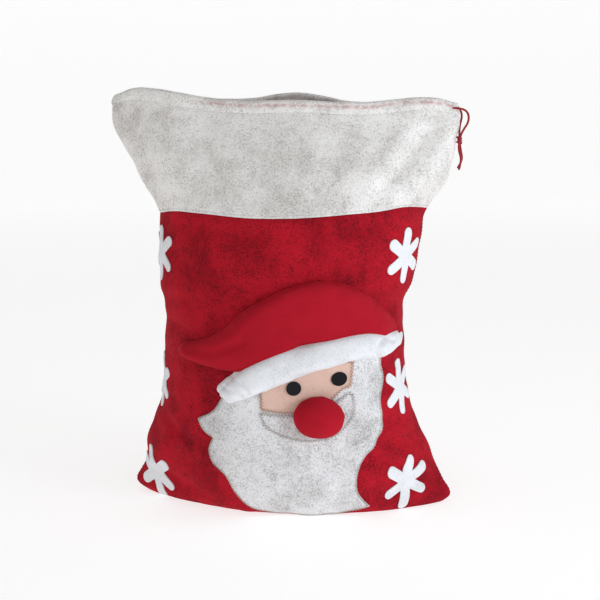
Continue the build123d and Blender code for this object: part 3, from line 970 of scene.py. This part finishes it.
class SACK_OT_brim(bpy.types.Operator):
    """The padded white brim, a stuffed roll with a seam under its upper edge"""
    bl_idname = "sack.brim"
    bl_label = "Padded brim"

    def execute(self, context):
        piece = pillow("brim", BRIM, 0.0048, sizes().brim_loft, 0.021)
        plump(piece, 0.0035, 5.0, 0.004)
        upper = spline_stretch(BRIM[0][1:7], 0.004) + np.array([0.001, -0.007])
        sewn_groove(piece, upper, 0.0026, 0.0030)
        for crease in (((-0.066, 0.190), (-0.050, 0.186), (-0.040, 0.180)),
                       ((-0.052, 0.204), (-0.038, 0.196), (-0.030, 0.186)),
                       ((0.140, 0.250), (0.134, 0.240), (0.136, 0.230))):
            sewn_groove(piece, np.array(crease), 0.0035, 0.0028)
        finish(piece, finish_named("White felt"), "sack", 180)
        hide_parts("brim_cover", "brim_padding")
        return {"FINISHED"}


class SACK_OT_nose(bpy.types.Operator):
    """The stuffed ball of the nose, gathered at the back where it is sewn on"""
    bl_idname = "sack.nose"
    bl_label = "Stuffed nose"

    def execute(self, context):
        low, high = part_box("nose_cover")
        middle, size = (low + high) / 2, high - low
        bpy.ops.object.select_all(action="DESELECT")
        bpy.ops.mesh.primitive_uv_sphere_add(segments=64, ring_count=40, radius=0.5,
                                             rotation=(math.pi / 2, 0, 0))
        piece = bpy.context.active_object
        piece.name = piece.data.name = "nose"
        bpy.ops.object.transform_apply(location=False, rotation=True, scale=False)
        points = points_of(piece)
        front = high.y - low.y
        dent = 0.012 * soft_waves(points[:, 0], points[:, 2], 40, 8, 0.3, 0.8)
        points *= 1 + dent[:, None]
        around = np.arctan2(points[:, 2], points[:, 0])
        pucker = np.clip(points[:, 1] * 2 + 0.1, 0, 1)
        points[:, [0, 2]] *= (1 + 0.04 * pucker * np.sin(around * 14))[:, None]
        points *= np.array([0.97 * size.x, 1.12 * front, 0.97 * size.z])
        points += np.array([middle.x + 0.003, low.y + 0.56 * front, middle.z + 0.003])
        set_points(piece, points)
        finish(piece, finish_named("Cap felt"), "sack", 180)
        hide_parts("nose_cover", "nose_filling")
        return {"FINISHED"}


# ---- stitching ----
def thread_piece(name, runs, radius, material):
    """Threads that follow lists of points, as one piece."""
    curve = bpy.data.curves.new(name, "CURVE")
    curve.dimensions = "3D"
    curve.bevel_depth = radius
    curve.bevel_resolution = 1
    for points in runs:
        spline = curve.splines.new("POLY")
        spline.points.add(len(points) - 1)
        for target, point in zip(spline.points, points):
            target.co = (*point, 1)
    piece = bpy.data.objects.new(name, curve)
    bpy.context.scene.collection.objects.link(piece)
    activate(piece)
    curve.use_fill_caps = True
    bpy.ops.object.convert(target="MESH")
    piece = bpy.context.active_object
    weld(piece)
    finish(piece, material)
    return piece


def running_stitch(heights, turns, out, stitch=0.0035, gap=0.0018):
    """Separate stitches along a path on the skin, each with its ends pulled in."""
    path, _ = skin(heights, turns, out)
    walked = np.concatenate([[0], np.cumsum(np.linalg.norm(np.diff(path, axis=0), axis=1))])
    runs = []
    start = 0.0
    while start + stitch < walked[-1]:
        at = start + stitch * np.array([0.0, 0.15, 0.5, 0.85, 1.0])
        sunk = np.array([-0.0007, -0.0001, 0.0001, -0.0001, -0.0007])
        height, turn = np.interp(at, walked, heights), np.interp(at, walked, turns)
        runs.append(skin(height, turn, out + sunk)[0])
        start += stitch + gap
    return runs


def inset_ring(ring, inset):
    """The outline moved in, without the points that its corners would cross."""
    after, before = np.roll(ring, -1, axis=0), np.roll(ring, 1, axis=0)
    along = after - before
    along /= np.linalg.norm(along, axis=1, keepdims=True)
    turned = np.sum(ring[:, 0] * after[:, 1] - after[:, 0] * ring[:, 1])
    moved = ring + math.copysign(inset, turned) * np.stack([-along[:, 1], along[:, 0]], 1)
    return moved[edge_distance(moved, ring) > inset * 0.9]


def zigzag(ring, out, pitch, swing):
    """A zig-zag of thread round an outline, over its edge."""
    closed = np.concatenate([ring, ring[:1]])
    walked = np.concatenate([[0], np.cumsum(np.linalg.norm(np.diff(closed, axis=0), axis=1))])
    at = np.arange(0, walked[-1], pitch / 2)
    path = np.stack([np.interp(at, walked, closed[:, axis]) for axis in (0, 1)], 1)
    along = np.gradient(path, axis=0)
    along /= np.maximum(np.linalg.norm(along, axis=1, keepdims=True), 1e-9)
    side = np.where(np.arange(len(at)) % 2, swing, -swing)[:, None]
    path = path + side * np.stack([-along[:, 1], along[:, 0]], 1)
    return [skin(*on_front(path), out)[0]]


class SACK_OT_stitching(bpy.types.Operator):
    """Every line of thread: face edges, collar seam, side seams and hem"""
    bl_idname = "sack.stitching"
    bl_label = "Stitching"

    def execute(self, context):
        felt, radius = sizes().felt, sizes().thread / 2
        rings = {"beard_thread": (BEARD, felt + 0.0006, "Cream thread", 0.0012, 0.0036, 0.0014),
                 "face_panel_thread": (FACE, 2 * felt + 0.0006, "Tan thread", 0.0016, 0.0042,
                                       0.0021),
                 "moustache_thread": (MOUSTACHE, 2 * felt + 0.0006, "Tan thread", 0.0016,
                                      0.0042, 0.0021)}
        for name, (stretches, out, material, inset, pitch, swing) in rings.items():
            ring = inset_ring(outline_points(stretches), inset)
            runs = zigzag(ring, out, pitch, swing)
            piece = thread_piece(name + "_stitches", runs, radius * 1.2,
                                 finish_named(material))
            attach(piece, "sack")
            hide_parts(name)
        self.side_seams(radius)
        for side, word in ((FRONT, "front"), (REAR, "rear")):
            self.collar_lines(side, word, radius)
        return {"FINISHED"}

    def side_seams(self, radius):
        runs = []
        for turn in (0.0, math.pi):
            for first in np.arange(0.012, SEAM - 0.006, 0.005):
                at = np.array([first, first + 0.0015, first + 0.003])
                edge = smooth_skin(at, np.full(3, turn))
                edge[:, 1] = (0.0008, 0.0, -0.0008)
                runs.append(edge)
        base = smooth_skin(np.zeros(2), np.array([math.pi, 0.0]))
        for first in np.arange(base[0][0] + 0.003, base[1][0] - 0.006, 0.005):
            runs.append([(first, 0, 0.0008), (first + 0.003, 0, 0.0008)])
        piece = thread_piece("side_and_bottom_seam_stitches", runs, radius,
                             finish_named("Red thread"))
        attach(piece, "sack")
        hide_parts("side_and_bottom_seam_thread")

    def collar_lines(self, side, word, radius):
        turns = side * np.linspace(math.pi - 0.03, 0.03, 400)
        runs = running_stitch(seam_height(turns, side) + 0.0035, turns, 0.0004)
        piece = thread_piece(f"{word}_collar_seam_stitches", runs, radius,
                             finish_named("White thread"))
        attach(piece, "sack")
        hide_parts(f"{word}_collar_seam_thread")
        runs = running_stitch(rim_height(turns, side) - HEM, turns, -0.0006)
        piece = thread_piece(f"{word}_hem_stitches_whole", runs, radius,
                             finish_named("White thread"))
        names = (f"{word}_hem_stitches_left", f"{word}_hem_stitches_right")
        split_for_mouth(piece, names, f"{word}_hem_thread")


# ---- drawstring ----
def cord_piece(name, points, diameter, material):
    """A cord on one smooth line that its points pull into place, and that line."""
    curve = bpy.data.curves.new(name, "CURVE")
    curve.dimensions = "3D"
    curve.resolution_u = 12
    spline = curve.splines.new("NURBS")
    spline.points.add(len(points) - 1)
    for target, point in zip(spline.points, points):
        target.co = (*point, 1)
    spline.order_u = 3
    spline.use_endpoint_u = True
    piece = bpy.data.objects.new(name, curve)
    bpy.context.scene.collection.objects.link(piece)
    line = bpy.data.meshes.new_from_object(piece)
    path = [tuple(vertex.co) for vertex in line.vertices]
    curve.bevel_depth = diameter / 2
    curve.bevel_resolution = 5
    curve.use_fill_caps = True
    activate(piece)
    bpy.ops.object.convert(target="MESH")
    weld(bpy.context.active_object)
    return finish(bpy.context.active_object, material, angle=80), path


class SACK_OT_drawstring(bpy.types.Operator):
    """The red drawstring: two runs in the hem, two free strands, and their knot"""
    bl_idname = "sack.drawstring"
    bl_label = "Drawstring"

    def execute(self, context):
        diameter = sizes().cord
        material = finish_named("Braided cord")
        knot = self.make_knot(diameter, material)
        for word, points, length in (("front", FRONT_STRAND, FRONT_LENGTH),
                                     ("rear", REAR_STRAND, REAR_LENGTH)):
            node = f"drawstring_{word}_strand"
            piece, path = cord_piece(f"{node}_cord", points, diameter, material)
            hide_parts(node)
            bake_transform(piece)
        for side, word in ((FRONT, "front"), (REAR, "rear")):
            self.hem_run(side, word, diameter, material)
        return {"FINISHED"}

    def make_knot(self, diameter, material):
        """An overhand knot of both strands, wound round itself."""
        turns = np.linspace(0, 2.6 * math.tau, 60)
        reach = diameter * (0.85 + 0.25 * np.sin(turns * 0.5))
        points = np.stack([KNOT.x + reach * np.cos(turns), reach * np.sin(turns),
                           KNOT.z + 0.0042 * np.linspace(-1, 1, 60)], 1)
        piece = thread_piece("drawstring_knot_wrap", [points], diameter * 0.5, material)
        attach(piece, "drawstring")
        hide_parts("drawstring_knot")
        return piece

    def hem_run(self, side, word, diameter, material):
        turns = side * np.linspace(2.85, 0.29, 60)
        points, _ = skin(rim_height(turns, side) - 0.0085, turns, -CASING)
        piece = thread_piece(f"drawstring_{word}_run_whole", [points], diameter / 2 * 0.95,
                             material)
        names = (f"drawstring_{word}_run_left", f"drawstring_{word}_run_right")
        split_for_mouth(piece, names, f"drawstring_{word}_run")


# ---- stage ----
class SACK_OT_stage(bpy.types.Operator):
    """A pale round sweep, soft light and the camera"""
    bl_idname = "sack.stage"
    bl_label = "Floor, light and camera"

    def execute(self, context):
        self.sweep()
        self.light("Key", (2.1, -1.2, 0.5), size=0.9, power=23, colour=(0.84, 0.92, 1.0))
        self.light("Top", (0.2, -0.3, 2.4), size=1.5, power=8, colour=(1.0, 0.97, 0.93))
        world = bpy.data.worlds.new("Soft room")
        world.use_nodes = True
        world.node_tree.nodes["Background"].inputs[0].default_value = (1.0, 1.0, 1.0, 1)
        world.node_tree.nodes["Background"].inputs[1].default_value = 0.10
        context.scene.world = world
        context.scene.view_settings.view_transform = "Standard"
        self.camera(context)
        return {"FINISHED"}

    def sweep(self):
        """A floor that curves up into a wall all round."""
        bpy.ops.object.select_all(action="DESELECT")
        bpy.ops.mesh.primitive_cylinder_add(vertices=96, radius=7, depth=4, location=(0, 0, 2))
        floor = bpy.context.active_object
        floor.name = "studio_sweep"
        bpy.ops.object.mode_set(mode="EDIT")
        bpy.ops.mesh.select_all(action="DESELECT")
        bpy.ops.object.mode_set(mode="OBJECT")
        for polygon in floor.data.polygons:
            polygon.select = polygon.normal.z > 0.5
        bpy.ops.object.mode_set(mode="EDIT")
        bpy.ops.mesh.delete(type="ONLY_FACE")
        bpy.ops.mesh.select_all(action="SELECT")
        bpy.ops.mesh.flip_normals()
        bpy.ops.object.mode_set(mode="OBJECT")
        apply_modifier(floor, "BEVEL", width=2.2, segments=24, limit_method="ANGLE",
                       angle_limit=math.radians(60))
        activate(floor)
        bpy.ops.object.shade_smooth()
        material = bpy.data.materials.new("Pale paper")
        material.use_nodes = True
        shader = material.node_tree.nodes["Principled BSDF"]
        shader.inputs["Base Color"].default_value = (0.5, 0.5, 0.5, 1)
        shader.inputs["Roughness"].default_value = 0.9
        shader.inputs["Emission Color"].default_value = (1, 1, 1, 1)
        shader.inputs["Emission Strength"].default_value = 0.70
        floor.data.materials.append(material)

    def light(self, name, place, size, power, colour):
        lamp = bpy.data.lights.new(name, "AREA")
        lamp.color = colour
        lamp.shape = "DISK"
        lamp.size = size
        lamp.energy = power
        holder = bpy.data.objects.new(name, lamp)
        holder.location = place
        aim = Vector((0, 0, 0.3)) - Vector(place)
        holder.rotation_euler = aim.to_track_quat("-Z", "Y").to_euler()
        bpy.context.scene.collection.objects.link(holder)

    def camera(self, context):
        turn, tilt, away = math.radians(8), math.radians(9), 2.0
        aim = Vector((0.014, 0, 0.283))
        back = Vector((math.sin(turn) * math.cos(tilt), -math.cos(turn) * math.cos(tilt),
                       math.sin(tilt)))
        lens = bpy.data.cameras.new("Camera")
        lens.sensor_width = 36
        lens.lens = 85.3
        holder = bpy.data.objects.new("Camera", lens)
        holder.location = aim + back * away
        holder.rotation_euler = (-back).to_track_quat("-Z", "Y").to_euler()
        context.scene.collection.objects.link(holder)
        context.scene.camera = holder


class SACK_PT_panel(bpy.types.Panel):
    """Lists the sack's sizes, colours and pieces"""
    bl_idname = "SACK_PT_panel"
    bl_label = "Gift sack"
    bl_space_type = "VIEW_3D"
    bl_region_type = "UI"
    bl_category = "Gift sack"

    def draw(self, context):
        for group in (context.scene.sack_sizes, context.scene.sack_colours):
            for name in group.__annotations__:
                self.layout.prop(group, name)
        for operator in OPERATORS:
            self.layout.operator(operator.bl_idname)


OPERATORS = (SACK_OT_stage, SACK_OT_drawstring, SACK_OT_panels, SACK_OT_collars,
             SACK_OT_face_pieces, SACK_OT_snowflakes, SACK_OT_cap, SACK_OT_brim, SACK_OT_nose,
             SACK_OT_stitching)
CLASSES = (SackSizes, SackColours, *OPERATORS, SACK_PT_panel)


def register():
    for kind in CLASSES:
        bpy.utils.register_class(kind)
    bpy.types.Scene.sack_sizes = PointerProperty(type=SackSizes)
    bpy.types.Scene.sack_colours = PointerProperty(type=SackColours)


def unregister():
    del bpy.types.Scene.sack_colours
    del bpy.types.Scene.sack_sizes
    for kind in reversed(CLASSES):
        bpy.utils.unregister_class(kind)


def main():
    register()
    for operator in OPERATORS:
        group, name = operator.bl_idname.split(".")
        getattr(getattr(bpy.ops, group), name)()


if __name__ == "__main__":
    main()
